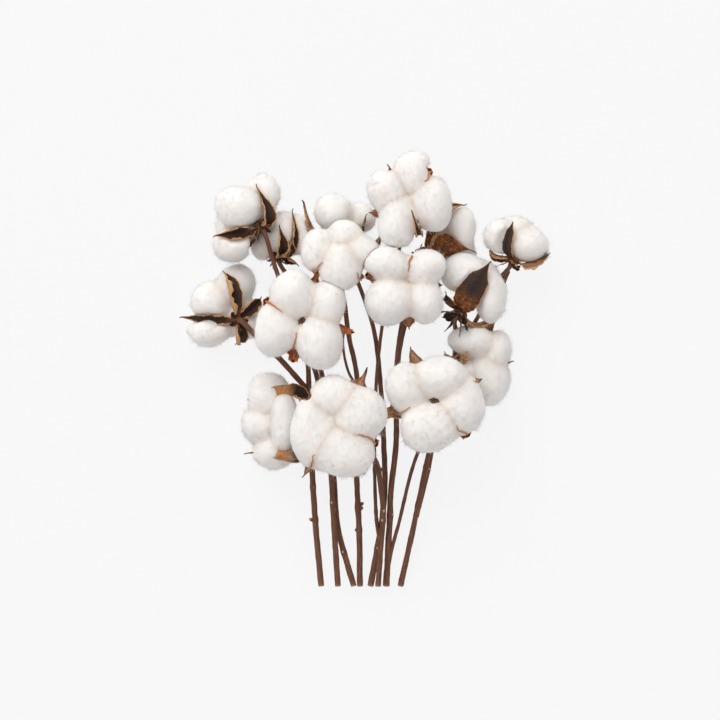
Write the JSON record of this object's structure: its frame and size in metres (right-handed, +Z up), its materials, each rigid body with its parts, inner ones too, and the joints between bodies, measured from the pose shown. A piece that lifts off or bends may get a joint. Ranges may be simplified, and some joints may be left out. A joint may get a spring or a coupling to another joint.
{
  "type": "cotton stem bunch",
  "caption": "Bunch of cut dried cotton stems lying on its back, with open bolls of white fibre in brown burs at one end and bare woody stems at the other.",
  "frame": {"origin": "middle of the bounding box, on the surface that the bunch lies on", "axes": "+Z up from that surface, +Y along the stems towards the bolls, +X across the bunch"},
  "size_m": [0.2458, 0.2914, 0.0816],
  "materials": {
    "cotton": "soft loose white fibre",
    "bur": "dry brown husk with tan rims",
    "bark": "dry smooth brown bark"
  },
  "bodies": {
    "root": {"cotton_a": "cotton", "cotton_b": "cotton", "cotton_c": "cotton", "cotton_d": "cotton", "cotton_e": "cotton", "cotton_f": "cotton", "cotton_g": "cotton", "cotton_h": "cotton", "cotton_i": "cotton", "cotton_j": "cotton", "cotton_k": "cotton", "cotton_l": "cotton", "cotton_m": "cotton", "cotton_n": "cotton", "cotton_o": "cotton", "bur_a": "bur", "bur_b": "bur", "bur_c": "bur", "bur_d": "bur", "bur_e": "bur", "bur_f": "bur", "bur_g": "bur", "bur_h": "bur", "bur_i": "bur", "bur_j": "bur", "bur_k": "bur", "bur_l": "bur", "bur_m": "bur", "bur_n": "bur", "bur_o": "bur", "stem_01": "bark", "stem_02": "bark", "stem_03": "bark", "stem_04": "bark", "stem_05": "bark", "stem_06": "bark", "stem_07": "bark", "stem_09": "bark"}
  },
  "joints": []
}
